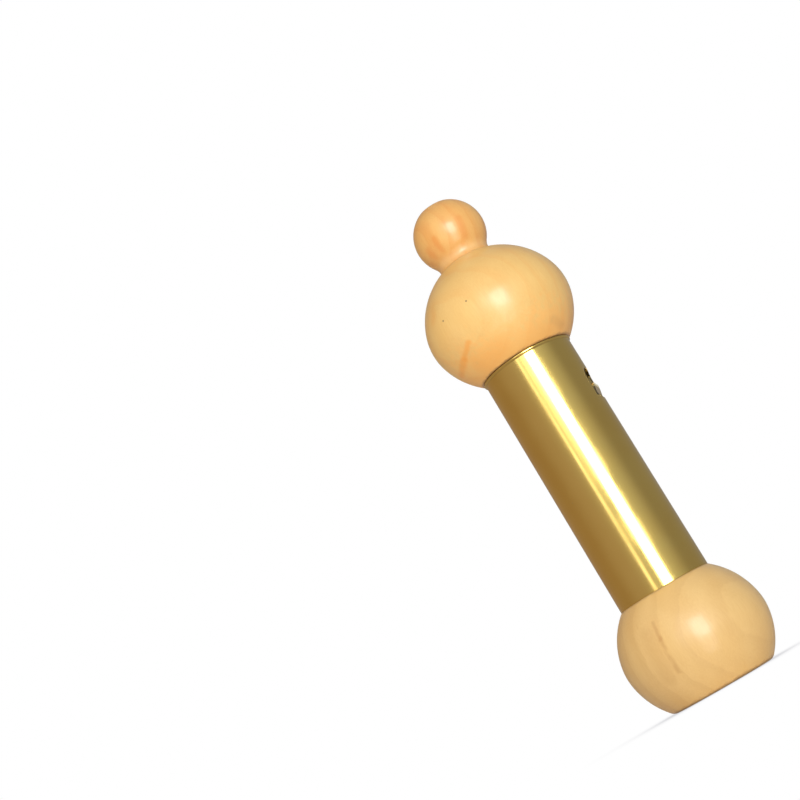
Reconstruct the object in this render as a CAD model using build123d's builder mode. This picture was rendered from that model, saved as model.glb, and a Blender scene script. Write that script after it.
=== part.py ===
from build123d import *
import os
from math import acos, atan2, degrees, sqrt

# A whistling bird call: a brass pipe between two turned wooden balls.
# It stands on the flat foot of its handle ball. Z runs up the pipe, X the way the window faces.
# Every length is in millimetres.

# Brass tube
tube_diameter = 18.0
tube_wall = 0.5
tube_length = 49.2
flare_width = 0.3
flare_height = 0.5

# Window in the tube wall on the +X side. The lip on its lower side is a flat tongue between two slits,
# and below the tongue's root the wall is dented in to meet it.
window_drop = 7.1
window_height = 5.6
window_width = 5.9
window_corner = 2.0
lip_length = 2.1
lip_lean = 0.4
lip_slit = 0.2
lip_corner = 1.0
dent_height = 0.9

# Handle ball, turned a little flatter than a sphere, with a flat foot and a flat shoulder for the tube
handle_diameter = 28.3
handle_flattening = 1.0
handle_foot_drop = 9.5
foot_rounding = 1.6

# Head ball, turned flatter than the handle, on a seat a little wider than the tube
head_diameter = 29.2
head_flattening = 2.0
head_seat_overhang = 0.3
seam = 0.12

# Mouthpiece, a small ball on a coved neck, with a flat land round the blow hole in its end
knob_diameter = 14.3
knob_end_land = 1.47
knob_neck_drop = 4.2
knob_end_rounding = 0.7
neck_height = 2.4
neck_foot_diameter = 11.1
cove_depth = 0.35
neck_seat_land = 0.15
mouth_tenon_diameter = 8.0
mouth_tenon_length = 9.0
air_bore_diameter = 4.0
bore_rounding = 0.45

# Fipple block, which carries the windway to the window; its tenon stops at the wall under the mouthpiece
block_tenon_diameter = 11.0
socket_wall = 4.0
windway_depth = 0.9
windway_feed_diameter = 3.0
windway_feed_drop = 2.2

# Plunger: rod, piston, leather seal, washer and screw
rod_diameter = 6.0
rod_socket_depth = 13.0
rod_end_chamfer = 0.4
seal_window_gap = 3.2
piston_body_height = 5.0
piston_spigot_diameter = 9.0
piston_rod_depth = 3.0
piston_edge = 0.4
seal_thickness = 2.5
seal_edge = 0.4
washer_diameter = 13.0
washer_thickness = 0.8
screw_diameter = 2.5
screw_depth = 8.0
screw_point = 2.5
screw_head_diameter = 5.4
screw_head_height = 1.4
screw_slot_width = 0.7
screw_slot_depth = 0.6

# Guide bush in the tube's lower end
bush_height = 5.0
bush_inset = 0.2
bush_edge = 0.4

# Clearances: radial, and end to end where a piece seats in a blind hole
glue_gap = 0.05
rod_clearance = 0.08
piston_clearance = 0.3
seal_clearance = 0.05
seal_float = 0.05
socket_end_gap = 0.2


# A turned ball's section: a belt round the equator that runs on smoothly into two spherical caps.
# The belt's radius is this share of the ball's radius, so its centre stays clear of the axis.
belt_share = 0.48


def belt_radius(diameter):
    """Radius of the arc round a turned ball's equator."""
    return belt_share * diameter / 2


def cap_shift(diameter, flattening):
    """How far past a turned ball's centre each of its caps has its own centre."""
    belt = belt_radius(diameter)
    half_height = (diameter - flattening) / 2
    belt_offset = diameter / 2 - belt
    cap_radius = (belt_offset**2 + half_height**2 - belt**2) / (2 * (half_height - belt))
    return cap_radius - half_height


def cap_radius(diameter, flattening):
    """Radius of a turned ball's spherical caps."""
    return (diameter - flattening) / 2 + cap_shift(diameter, flattening)


def ball_rise(diameter, flattening, radius):
    """Height above a turned ball's centre at which its cap has the given radius."""
    return sqrt(cap_radius(diameter, flattening) ** 2 - radius**2) - cap_shift(diameter, flattening)


def ball_radius(diameter, flattening, rise):
    """Radius of a turned ball's cap at the given height above its centre."""
    return sqrt(cap_radius(diameter, flattening) ** 2 - (rise + cap_shift(diameter, flattening)) ** 2)


def draw_ball_side(centre_z, diameter, flattening, bottom_radius, top_radius):
    """Draw a turned ball's section in the current line, from its lower flat to its upper one."""
    cap = cap_radius(diameter, flattening)
    shift = cap_shift(diameter, flattening)
    belt = belt_radius(diameter)
    belt_offset = diameter / 2 - belt
    belt_angle = degrees(atan2(shift, belt_offset))
    bottom_angle = degrees(acos(bottom_radius / cap))
    top_angle = degrees(acos(top_radius / cap))
    CenterArc((0, centre_z + shift), cap, -bottom_angle, bottom_angle - belt_angle)
    CenterArc((belt_offset, centre_z), belt, -belt_angle, 2 * belt_angle)
    CenterArc((0, centre_z - shift), cap, belt_angle, top_angle - belt_angle)


def sphere_side(diameter, other_side):
    """Radius of a sphere's slice at a given height from its centre, or the height of a given radius."""
    return sqrt((diameter / 2) ** 2 - other_side**2)


# Radii that several pieces share
tube_radius = tube_diameter / 2
tube_inner_radius = tube_radius - tube_wall
head_seat_radius = tube_radius + head_seat_overhang
rod_radius = rod_diameter / 2
air_radius = air_bore_diameter / 2
knob_end_radius = air_radius + knob_end_land
screw_radius = screw_diameter / 2
spigot_radius = piston_spigot_diameter / 2
block_tenon_radius = block_tenon_diameter / 2
mouth_tenon_radius = mouth_tenon_diameter / 2

# Levels up the pipe, from the foot
handle_centre_z = handle_foot_drop
tube_bottom_z = handle_centre_z + ball_rise(handle_diameter, handle_flattening, tube_radius)
tube_top_z = tube_bottom_z + tube_length
window_top_z = tube_top_z - window_drop
window_bottom_z = window_top_z - window_height
lip_z = window_bottom_z + lip_length
dent_z = window_bottom_z - dent_height
head_bottom_z = tube_top_z + seam
head_centre_z = head_bottom_z + ball_rise(head_diameter, head_flattening, head_seat_radius)
neck_seat_radius = neck_foot_diameter / 2 + neck_seat_land
neck_seat_z = head_centre_z + ball_rise(head_diameter, head_flattening, neck_seat_radius)
crease_z = neck_seat_z + neck_height
knob_centre_z = crease_z + knob_neck_drop
knob_end_z = knob_centre_z + sphere_side(knob_diameter, knob_end_radius)
mouth_tenon_bottom_z = neck_seat_z - mouth_tenon_length
block_tenon_top_z = mouth_tenon_bottom_z - socket_wall - 2 * socket_end_gap
bush_bottom_z = tube_bottom_z + bush_inset
bush_top_z = bush_bottom_z + bush_height
seal_top_z = window_bottom_z - seal_window_gap
piston_top_z = seal_top_z - seal_thickness - seal_float
piston_bottom_z = piston_top_z - piston_body_height
spigot_top_z = seal_top_z + seal_float
washer_top_z = spigot_top_z + washer_thickness
rod_bottom_z = tube_bottom_z - rod_socket_depth
rod_top_z = piston_bottom_z + piston_rod_depth
screw_tip_z = rod_top_z - screw_depth

os.makedirs("parts", exist_ok=True)

# Handle ball: flat foot with a rounded edge, and a blind socket for the rod in its shoulder
foot_radius = ball_radius(handle_diameter, handle_flattening, handle_foot_drop)
rod_socket_radius = rod_radius + glue_gap
with BuildPart() as handle_ball:
    with BuildSketch(Plane.XZ):
        with BuildLine():
            draw_ball_side(handle_centre_z, handle_diameter, handle_flattening, foot_radius, tube_radius)
            Polyline(
                (tube_radius, tube_bottom_z),
                (rod_socket_radius, tube_bottom_z),
                (rod_socket_radius, rod_bottom_z - socket_end_gap),
                (0, rod_bottom_z - socket_end_gap),
                (0, 0),
                (foot_radius, 0),
            )
        make_face()
    revolve(axis=Axis.Z)
    foot_edge = handle_ball.edges().filter_by(GeomType.CIRCLE).group_by(Axis.Z)[0]
    fillet(foot_edge, foot_rounding)
handle_ball.part.label = "handle_ball"
export_step(handle_ball.part, "parts/handle_ball.step")

# Dent below the window: the wall's sheet runs in to the lip's root, inside the tube's own round
lip_width = window_width - 2 * lip_slit
lip_root = sqrt(tube_radius**2 - (lip_width / 2) ** 2)
with BuildPart() as dent:
    with BuildSketch(Plane.XZ):
        with BuildLine():
            Polyline(
                (tube_radius, dent_z),
                (lip_root, window_bottom_z),
                (lip_root - tube_wall, window_bottom_z),
                (tube_inner_radius, dent_z),
                close=True,
            )
        make_face()
    extrude(amount=lip_width / 2, both=True)
    with BuildSketch(Plane.XY.offset(dent_z)):
        Circle(tube_radius)
    extrude(amount=dent_height, mode=Mode.INTERSECT)

# Lip: a flat tongue of the same sheet that leans out again from its root, with rounded corners
with BuildPart() as lip:
    with BuildSketch(Plane.XZ):
        with BuildLine():
            Polyline(
                (lip_root, window_bottom_z),
                (lip_root + lip_lean, lip_z),
                (lip_root + lip_lean - tube_wall, lip_z),
                (lip_root - tube_wall, window_bottom_z),
                close=True,
            )
        make_face()
    extrude(amount=lip_width / 2, both=True)
    with BuildSketch(Plane.YZ) as tongue:
        with Locations((0, window_bottom_z)):
            Rectangle(lip_width, 2 * lip_length)
        fillet(tongue.vertices().group_by(Axis.Y)[-1], lip_corner)
    extrude(amount=tube_diameter, mode=Mode.INTERSECT)

# Brass tube: drawn wall with a flared upper rim, open at the window
with BuildPart() as brass_tube:
    with BuildSketch(Plane.XZ):
        with BuildLine():
            Polyline(
                (tube_inner_radius, tube_bottom_z),
                (tube_radius, tube_bottom_z),
                (tube_radius, tube_top_z - flare_height),
                (tube_radius + flare_width, tube_top_z),
                (tube_inner_radius + flare_width, tube_top_z),
                (tube_inner_radius, tube_top_z - flare_height),
                close=True,
            )
        make_face()
    revolve(axis=Axis.Z)
    with BuildSketch(Plane.YZ) as window:
        with Locations((0, (window_top_z + window_bottom_z) / 2)):
            Rectangle(window_width, window_height)
        fillet(window.vertices().group_by(Axis.Y)[-1], window_corner)
    extrude(amount=tube_diameter, mode=Mode.SUBTRACT)
    with BuildSketch(Plane.XZ):
        with BuildLine():
            Polyline(
                (tube_radius, dent_z),
                (tube_radius + tube_wall, dent_z),
                (tube_radius + tube_wall, window_bottom_z),
                (lip_root, window_bottom_z),
                close=True,
            )
        make_face()
    extrude(amount=lip_width / 2, both=True, mode=Mode.SUBTRACT)
    add(dent.part)
    add(lip.part)
brass_tube.part.label = "brass_tube"
export_step(brass_tube.part, "parts/brass_tube.step")

# Fipple block: a plug in the tube's upper end, with a tenon up into the head ball
block_radius = tube_inner_radius - glue_gap
feed_z = tube_top_z - windway_feed_drop
with BuildPart() as fipple_block:
    with BuildSketch(Plane.XY.offset(window_top_z)):
        Circle(block_radius)
    extrude(amount=window_drop)
    with BuildSketch(Plane.XY.offset(tube_top_z)):
        Circle(block_tenon_radius)
    extrude(amount=block_tenon_top_z - tube_top_z)
    with BuildSketch(Plane.XY.offset(block_tenon_top_z)):
        Circle(air_radius)
    extrude(amount=feed_z - block_tenon_top_z, mode=Mode.SUBTRACT)
    with BuildSketch(Plane.YZ):
        with Locations((0, feed_z)):
            Circle(windway_feed_diameter / 2)
    extrude(amount=tube_radius, mode=Mode.SUBTRACT)
    with BuildSketch(Plane.XZ):
        with BuildLine():
            windway_top_z = feed_z + windway_feed_diameter / 2
            windway_floor = tube_inner_radius - windway_depth
            Polyline(
                (windway_floor, window_top_z),
                (tube_radius, window_top_z),
                (tube_radius, windway_top_z),
                (windway_floor, windway_top_z),
                close=True,
            )
        make_face()
    extrude(amount=window_width / 2, both=True, mode=Mode.SUBTRACT)
fipple_block.part.label = "fipple_block"
export_step(fipple_block.part, "parts/fipple_block.step")

# Head ball: sockets for the block below and the mouthpiece above, joined by the air passage
block_socket_radius = block_tenon_radius + glue_gap
mouth_socket_radius = mouth_tenon_radius + glue_gap
with BuildPart() as head_ball:
    with BuildSketch(Plane.XZ):
        with BuildLine():
            draw_ball_side(head_centre_z, head_diameter, head_flattening, head_seat_radius, neck_seat_radius)
            Polyline(
                (neck_seat_radius, neck_seat_z),
                (mouth_socket_radius, neck_seat_z),
                (mouth_socket_radius, mouth_tenon_bottom_z - socket_end_gap),
                (air_radius, mouth_tenon_bottom_z - socket_end_gap),
                (air_radius, block_tenon_top_z + socket_end_gap),
                (block_socket_radius, block_tenon_top_z + socket_end_gap),
                (block_socket_radius, head_bottom_z),
                (head_seat_radius, head_bottom_z),
            )
        make_face()
    revolve(axis=Axis.Z)
head_ball.part.label = "head_ball"
export_step(head_ball.part, "parts/head_ball.step")

# Mouthpiece: tenon, coved neck, small ball and flat blowing end, bored right through
with BuildPart() as mouthpiece:
    with BuildSketch(Plane.XZ):
        with BuildLine():
            neck_foot = (neck_foot_diameter / 2, neck_seat_z)
            crease = (sphere_side(knob_diameter, knob_neck_drop), crease_z)
            cove_middle = (min(neck_foot[0], crease[0]) - cove_depth, (neck_seat_z + crease_z) / 2)
            end_edge = (knob_end_radius, knob_end_z)
            ThreePointArc(neck_foot, cove_middle, crease)
            ThreePointArc(crease, (knob_diameter / 2, knob_centre_z), end_edge)
            Polyline(
                end_edge,
                (air_radius, knob_end_z),
                (air_radius, mouth_tenon_bottom_z),
                (mouth_tenon_radius, mouth_tenon_bottom_z),
                (mouth_tenon_radius, neck_seat_z),
                neck_foot,
            )
        make_face()
    revolve(axis=Axis.Z)
    end_edges = mouthpiece.edges().filter_by(GeomType.CIRCLE).group_by(Axis.Z)[-1].sort_by(SortBy.RADIUS)
    fillet(end_edges[-1], knob_end_rounding)
    bore_edge = mouthpiece.edges().filter_by(GeomType.CIRCLE).group_by(Axis.Z)[-1].sort_by(SortBy.RADIUS)[0]
    fillet(bore_edge, bore_rounding)
mouthpiece.part.label = "mouthpiece"
export_step(mouthpiece.part, "parts/mouthpiece.step")

# Guide bush: a wooden ring in the tube's lower end that the rod runs through
with BuildPart() as guide_bush:
    with BuildSketch(Plane.XY.offset(bush_bottom_z)):
        Circle(tube_inner_radius - glue_gap)
        Circle(rod_radius + rod_clearance, mode=Mode.SUBTRACT)
    extrude(amount=bush_height)
    chamfer(guide_bush.edges().filter_by(GeomType.CIRCLE), bush_edge)
guide_bush.part.label = "guide_bush"
export_step(guide_bush.part, "parts/guide_bush.step")

# Plunger rod: a dowel with a pilot hole for the piston screw in its upper end
with BuildPart() as plunger_rod:
    with BuildSketch(Plane.XY.offset(rod_bottom_z)):
        Circle(rod_radius)
    extrude(amount=rod_top_z - rod_bottom_z)
    chamfer(plunger_rod.edges().filter_by(GeomType.CIRCLE), rod_end_chamfer)
    with BuildSketch(Plane.XY.offset(rod_top_z)):
        Circle(screw_radius + glue_gap)
    extrude(amount=-screw_depth - socket_end_gap, mode=Mode.SUBTRACT)
plunger_rod.part.label = "plunger_rod"
export_step(plunger_rod.part, "parts/plunger_rod.step")

# Piston: a turned disc with a spigot for the seal, socketed on the rod and bored for the screw
with BuildPart() as piston:
    with BuildSketch(Plane.XY.offset(piston_bottom_z)):
        Circle(tube_inner_radius - piston_clearance)
    extrude(amount=piston_body_height)
    chamfer(piston.edges().filter_by(GeomType.CIRCLE), piston_edge)
    with BuildSketch(Plane.XY.offset(piston_top_z)):
        Circle(spigot_radius)
    extrude(amount=spigot_top_z - piston_top_z)
    with BuildSketch(Plane.XY.offset(piston_bottom_z)):
        Circle(rod_radius + glue_gap)
    extrude(amount=piston_rod_depth, mode=Mode.SUBTRACT)
    with BuildSketch(Plane.XY.offset(piston_bottom_z)):
        Circle(screw_radius + glue_gap)
    extrude(amount=spigot_top_z - piston_bottom_z, mode=Mode.SUBTRACT)
piston.part.label = "piston"
export_step(piston.part, "parts/piston.step")

# Leather seal: a ring on the piston's spigot that turns there and slides in the tube
with BuildPart() as piston_seal:
    with BuildSketch(Plane.XY.offset(piston_top_z + seal_float)):
        Circle(tube_inner_radius - seal_clearance)
        Circle(spigot_radius + seal_clearance, mode=Mode.SUBTRACT)
    extrude(amount=seal_thickness)
    fillet(piston_seal.edges().filter_by(GeomType.CIRCLE).group_by(SortBy.RADIUS)[-1], seal_edge)
piston_seal.part.label = "piston_seal"
export_step(piston_seal.part, "parts/piston_seal.step")

# Washer: keeps the seal on the spigot
with BuildPart() as piston_washer:
    with BuildSketch(Plane.XY.offset(spigot_top_z)):
        Circle(washer_diameter / 2)
        Circle(screw_radius + glue_gap, mode=Mode.SUBTRACT)
    extrude(amount=washer_thickness)
piston_washer.part.label = "piston_washer"
export_step(piston_washer.part, "parts/piston_washer.step")

# Screw: slotted round head over the washer, with a pointed shank in the rod
with BuildPart() as piston_screw:
    with BuildSketch(Plane.XZ):
        with BuildLine():
            head_rim = (screw_head_diameter / 2, washer_top_z)
            head_crown = (0, washer_top_z + screw_head_height)
            head_dome = TangentArc(head_crown, head_rim, tangent=(1, 0))
            Polyline(
                head_dome @ 1,
                (screw_radius, washer_top_z),
                (screw_radius, screw_tip_z + screw_point),
                (0, screw_tip_z),
                head_crown,
            )
        make_face()
    revolve(axis=Axis.Z)
    with BuildSketch(Plane.XY.offset(washer_top_z + screw_head_height - screw_slot_depth)):
        Rectangle(screw_head_diameter, screw_slot_width)
    extrude(amount=screw_slot_depth, mode=Mode.SUBTRACT)
piston_screw.part.label = "piston_screw"
export_step(piston_screw.part, "parts/piston_screw.step")

print(f"The tube slides up {piston_bottom_z - bush_top_z:.2f} mm before its bush meets the piston")
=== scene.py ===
"""Dresses a whistling bird call round its frame: turned wood, drawn brass and greased leather."""

import logging
import math
from dataclasses import dataclass, field, replace
from enum import Enum
from typing import Callable, Sequence

import bpy
from mathutils import Matrix, Vector


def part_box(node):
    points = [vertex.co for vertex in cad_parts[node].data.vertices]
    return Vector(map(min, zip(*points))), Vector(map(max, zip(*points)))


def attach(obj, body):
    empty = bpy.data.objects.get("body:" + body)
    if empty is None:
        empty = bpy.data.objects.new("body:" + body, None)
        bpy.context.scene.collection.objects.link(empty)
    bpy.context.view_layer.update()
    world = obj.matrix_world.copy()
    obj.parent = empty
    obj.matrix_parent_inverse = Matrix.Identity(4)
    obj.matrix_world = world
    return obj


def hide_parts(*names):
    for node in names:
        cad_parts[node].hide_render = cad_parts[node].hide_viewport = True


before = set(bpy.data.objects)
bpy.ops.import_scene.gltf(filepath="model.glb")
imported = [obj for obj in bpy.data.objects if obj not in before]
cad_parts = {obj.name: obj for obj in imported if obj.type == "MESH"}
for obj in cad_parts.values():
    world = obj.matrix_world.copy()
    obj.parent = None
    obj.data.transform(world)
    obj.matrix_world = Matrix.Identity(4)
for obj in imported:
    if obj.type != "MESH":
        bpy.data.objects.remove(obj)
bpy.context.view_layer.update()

MM = 0.001
FULL_TURN = math.tau

# Distances within which points are taken as one, or as lying at one height
SAME_POINT = 0.001 * MM
SLIVER = 0.004 * MM
SAME_LEVEL = 0.01 * MM
HAIR = 0.04 * MM

# Steps and eased edge of a turned piece, and angles in degrees past which edges are crisp or eased
TURN_STEPS = 128
BALL_STEPS = 160
TURNED_EDGE = 0.08 * MM
CRISP_ANGLE = 32.0
EASED_ANGLE = 28.0

# Share of a turned ball's radius that its belt has as its own radius
BELT_SHARE = 0.75

# Numbers of the mix node's sockets for colours
MIX_INPUTS = (0, 6, 7)
MIX_RESULT = 2

Point = tuple[float, float]
Place = tuple[float, float, float]
Colour = tuple[float, float, float]
Choice = Callable[[object], bool]
Piece = bpy.types.Object
Socket = bpy.types.NodeSocket
Outputs = bpy.types.bpy_prop_collection

log = logging.getLogger("bird_call")


class Body(Enum):
    """Rigid groups of the frame that a piece can ride on."""

    PLUNGER = "plunger"
    SEAL = "seal"
    BARREL = "barrel"


class Slot(Enum):
    """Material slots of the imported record."""

    HANDLE = "wood_handle"
    HEAD = "wood_head"
    MOUTHPIECE = "wood_mouthpiece"
    INNER = "wood_inner"
    TUBE = "brass_tube"
    HARDWARE = "brass_hardware"
    LEATHER = "leather"


class Pick(Enum):
    """Parts of a mesh that edit mode can select."""

    VERTICES = "VERT"
    EDGES = "EDGE"
    FACES = "FACE"


class NodeSheet:
    """Places nodes in a node tree and wires them up."""

    def __init__(self, tree: bpy.types.NodeTree) -> None:
        """Start with the given tree, emptied."""
        self.tree = tree
        tree.nodes.clear()

    def place(self, kind: str, inputs: dict | None = None, **settings) -> bpy.types.Node:
        """Add one node.

        Args:
            kind: The node's type, without its ShaderNode prefix.
            inputs: Socket name or number to a value, or to the output socket that feeds it.
            settings: Properties of the node itself.

        Returns:
            The new node.
        """
        node = self.tree.nodes.new("ShaderNode" + kind)
        for name, value in settings.items():
            setattr(node, name, value)
        for name, value in (inputs or {}).items():
            if isinstance(value, Socket):
                self.tree.links.new(value, node.inputs[name])
            else:
                node.inputs[name].default_value = value
        return node

    def sum(self, operation: str, *values: object) -> Socket:
        """Work out a number from numbers or sockets and return its socket."""
        return self.place("Math", dict(enumerate(values)), operation=operation).outputs[0]

    def vector(self, operation: str, *values: object) -> Socket:
        """Work out a vector from vectors or sockets and return its socket."""
        return self.place("VectorMath", dict(enumerate(values)), operation=operation).outputs[0]

    def length(self, operation: str, *values: object) -> Socket:
        """Work out a single number from vectors, such as a distance, and return its socket."""
        inputs = dict(enumerate(values))
        return self.place("VectorMath", inputs, operation=operation).outputs["Value"]

    def scaled(self, vector: Socket, factor: object) -> Socket:
        """Return the vector times one number."""
        return self.place("VectorMath", {0: vector, "Scale": factor}, operation="SCALE").outputs[0]

    def ramp(
        self, value: object, low: object, high: object, start: float = 0.0, end: float = 1.0
    ) -> Socket:
        """Ease a number from start to end while it goes from low to high.

        Args:
            value: The number or socket that is read.
            low: Where the ease begins.
            high: Where it ends.
            start: The result at low and before it.
            end: The result at high and past it.

        Returns:
            The eased number's socket.
        """
        inputs = {"Value": value, "From Min": low, "From Max": high, "To Min": start, "To Max": end}
        return self.place("MapRange", inputs, interpolation_type="SMOOTHSTEP").outputs[0]

    def mix(self, share: object, first: object, second: object, blend: str = "MIX") -> Socket:
        """Mix two colours and return the result's socket."""
        colours = [tint if isinstance(tint, Socket) else rgba(tint) for tint in (first, second)]
        inputs = dict(zip(MIX_INPUTS, (share, *colours)))
        return self.place("Mix", inputs, data_type="RGBA", blend_type=blend).outputs[MIX_RESULT]

    def noise(self, place: Socket, scale: object, detail: float, roughness: float = 0.5) -> Outputs:
        """Place a noise texture and return its outputs."""
        inputs = {"Vector": place, "Scale": scale, "Detail": detail, "Roughness": roughness}
        return self.place("TexNoise", inputs).outputs

    def shader(self, kind: str, inputs: dict) -> Socket:
        """Place a shader and return its socket."""
        return self.place(kind, inputs).outputs[0]

    def blend(self, share: object, first: Socket, second: Socket) -> Socket:
        """Mix two shaders and return the result's socket."""
        return self.shader("MixShader", {0: share, 1: first, 2: second})


def rgba(colour: Sequence[float]) -> tuple[float, float, float, float]:
    """Return a colour with full alpha."""
    return (colour[0], colour[1], colour[2], 1.0)


class EffectGroup:
    """A shader node group that several finishes place with their own values."""

    def __init__(self, name: str, inputs: dict[str, str], outputs: dict[str, str]) -> None:
        """Make the group's tree and its named sockets.

        Args:
            name: The group's name.
            inputs: Input name to socket type, Float, Vector or Color.
            outputs: Output name to socket type.
        """
        self.tree = bpy.data.node_groups.new(name, "ShaderNodeTree")
        self.sheet = NodeSheet(self.tree)
        for label, kind in inputs.items():
            self.tree.interface.new_socket(label, in_out="INPUT", socket_type="NodeSocket" + kind)
        for label, kind in outputs.items():
            self.tree.interface.new_socket(label, in_out="OUTPUT", socket_type="NodeSocket" + kind)
        self.given = self.tree.nodes.new("NodeGroupInput").outputs
        self.result = self.tree.nodes.new("NodeGroupOutput").inputs

    def send(self, **outputs: Socket) -> None:
        """Wire sockets to the group's outputs of those names."""
        for label, socket in outputs.items():
            self.tree.links.new(socket, self.result[label])


def wood_figure() -> bpy.types.NodeTree:
    """Build the group that draws growth bands, fibres and ray flecks along Z.

    Returns:
        The group's tree. Its Place input is in millimetres.
    """
    group = EffectGroup(
        "wood_figure",
        {"Place": "Vector", "Pith": "Vector", "Band Pitch": "Float", "Waver": "Float"},
        {"Bands": "Float", "Clouds": "Float", "Fibres": "Float", "Flecks": "Float"},
    )
    sheet, given = group.sheet, group.given
    slow = sheet.vector("MULTIPLY", given["Place"], (1.0, 1.0, 0.35))
    drift = sheet.noise(slow, 0.11, 3.0)["Color"]
    centred = sheet.vector("SUBTRACT", drift, (0.5, 0.5, 0.5))
    bent = sheet.vector("ADD", given["Place"], sheet.scaled(centred, given["Waver"]))
    offset = sheet.vector("SUBTRACT", bent, given["Pith"])
    from_pith = sheet.length("LENGTH", sheet.vector("MULTIPLY", offset, (1.0, 1.0, 0.06)))
    ring = sheet.sum("DIVIDE", from_pith, given["Band Pitch"])
    share = sheet.sum("FRACT", ring)
    late = sheet.ramp(share, 0.45, 0.93)
    early = sheet.ramp(share, 0.93, 1.0, 1.0, 0.0)
    bands = sheet.sum("MULTIPLY", late, early)
    clouds = sheet.noise(slow, 0.2, 2.0, 0.45)[0]
    thin = sheet.vector("MULTIPLY", bent, (5.0, 5.0, 0.22))
    fibres = sheet.noise(thin, 1.0, 3.0, 0.6)[0]
    dashes = sheet.vector("MULTIPLY", bent, (2.4, 2.4, 0.55))
    cells = sheet.place("TexVoronoi", {"Vector": dashes, "Scale": 1.0, "Randomness": 1.0})
    lens = sheet.ramp(cells.outputs["Distance"], 0.06, 0.2, 1.0, 0.0)
    chance = sheet.place("SeparateColor", {"Color": cells.outputs["Color"]}).outputs["Red"]
    flecks = sheet.sum("MULTIPLY", lens, sheet.ramp(chance, 0.5, 0.75))
    group.send(Bands=bands, Clouds=clouds, Fibres=fibres, Flecks=flecks)
    return group.tree


def ragged_streak() -> bpy.types.NodeTree:
    """Build the group that masks one ragged streak, of grain in wood, of painted shade in a slit or
    of a painted glint.

    Returns:
        The group's tree. The streak follows the line from Start to End, in millimetres.
    """
    group = EffectGroup(
        "ragged_streak",
        {"Place": "Vector", "Start": "Vector", "End": "Vector", "Width": "Float", "Sway": "Float"},
        {"Mask": "Float"},
    )
    sheet, given = group.sheet, group.given
    ragged = sheet.noise(given["Place"], 0.55, 3.0)["Color"]
    centred = sheet.vector("SUBTRACT", ragged, (0.5, 0.5, 0.5))
    place = sheet.vector("ADD", given["Place"], sheet.scaled(centred, given["Sway"]))
    run = sheet.vector("SUBTRACT", given["End"], given["Start"])
    offset = sheet.vector("SUBTRACT", place, given["Start"])
    reached = sheet.length("DOT_PRODUCT", offset, run)
    along = sheet.sum("DIVIDE", reached, sheet.length("DOT_PRODUCT", run, run))
    inside = sheet.sum("MINIMUM", sheet.sum("MAXIMUM", along, 0.0), 1.0)
    foot = sheet.scaled(run, inside)
    away = sheet.length("LENGTH", sheet.vector("SUBTRACT", offset, foot))
    mask = sheet.ramp(sheet.sum("DIVIDE", away, given["Width"]), 0.15, 1.0, 1.0, 0.0)
    group.send(Mask=mask)
    return group.tree


def scattered_specks() -> bpy.types.NodeTree:
    """Build the group that masks a few small round specks.

    Returns:
        The group's tree. Share is how many of the cells hold a speck, and Size is its radius.
    """
    group = EffectGroup(
        "scattered_specks",
        {"Place": "Vector", "Spacing": "Float", "Share": "Float", "Size": "Float"},
        {"Mask": "Float"},
    )
    sheet, given = group.sheet, group.given
    rate = sheet.sum("DIVIDE", 1.0, given["Spacing"])
    cells = sheet.place("TexVoronoi", {"Vector": given["Place"], "Scale": rate, "Randomness": 1.0})
    away = sheet.sum("MULTIPLY", cells.outputs["Distance"], given["Spacing"])
    colour = sheet.place("SeparateColor", {"Color": cells.outputs["Color"]})
    reach = sheet.sum("MULTIPLY", given["Size"], sheet.sum("ADD", colour.outputs["Green"], 0.5))
    dot = sheet.ramp(away, sheet.sum("MULTIPLY", reach, 0.4), reach, 1.0, 0.0)
    chosen = sheet.sum("LESS_THAN", colour.outputs["Red"], given["Share"])
    group.send(Mask=sheet.sum("MULTIPLY", dot, chosen))
    return group.tree


def handling_marks() -> bpy.types.NodeTree:
    """Build the group that varies gloss as fingers leave it.

    Returns:
        The group's tree. Smudge runs from 0, clean, to 1, dulled.
    """
    group = EffectGroup(
        "handling_marks", {"Place": "Vector", "Patch": "Float"}, {"Smudge": "Float"}
    )
    sheet, given = group.sheet, group.given
    rate = sheet.sum("DIVIDE", 1.0, given["Patch"])
    patches = sheet.noise(given["Place"], rate, 4.0, 0.55)[0]
    group.send(Smudge=sheet.ramp(patches, 0.35, 0.72))
    return group.tree


def seam_shade() -> bpy.types.NodeTree:
    """Build the group that masks a ring at one height, for painted shade and grime in a joint or
    for a painted band of light.

    Returns:
        The group's tree. Level and Reach are in millimetres.
    """
    group = EffectGroup(
        "seam_shade", {"Place": "Vector", "Level": "Float", "Reach": "Float"}, {"Mask": "Float"}
    )
    sheet, given = group.sheet, group.given
    height = sheet.place("SeparateXYZ", {"Vector": given["Place"]}).outputs["Z"]
    away = sheet.sum("ABSOLUTE", sheet.sum("SUBTRACT", height, given["Level"]))
    uneven = sheet.noise(given["Place"], 0.9, 2.0)[0]
    reach = sheet.sum("MULTIPLY", given["Reach"], sheet.ramp(uneven, 0.2, 0.8, 0.5, 1.3))
    group.send(Mask=sheet.ramp(away, 0.0, reach, 1.0, 0.0))
    return group.tree


EFFECTS = {
    build.__name__: build()
    for build in (wood_figure, ragged_streak, scattered_specks, handling_marks, seam_shade)
}


WHITE: Colour = (1.0, 1.0, 1.0)
SPECK_COLOUR: Colour = (0.16, 0.08, 0.03)
# Painted shade, with a little grime, for the joints between parts and round the foot
GRIME_AND_SHADE_COLOUR: Colour = (0.2, 0.1, 0.035)
SMUDGE_COLOUR: Colour = (0.42, 0.26, 0.11)
# Tarnish for the brass specks, and the painted shade line in the crease under the flared rim
TARNISH_AND_SHADE_COLOUR: Colour = (0.1, 0.065, 0.02)
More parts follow.
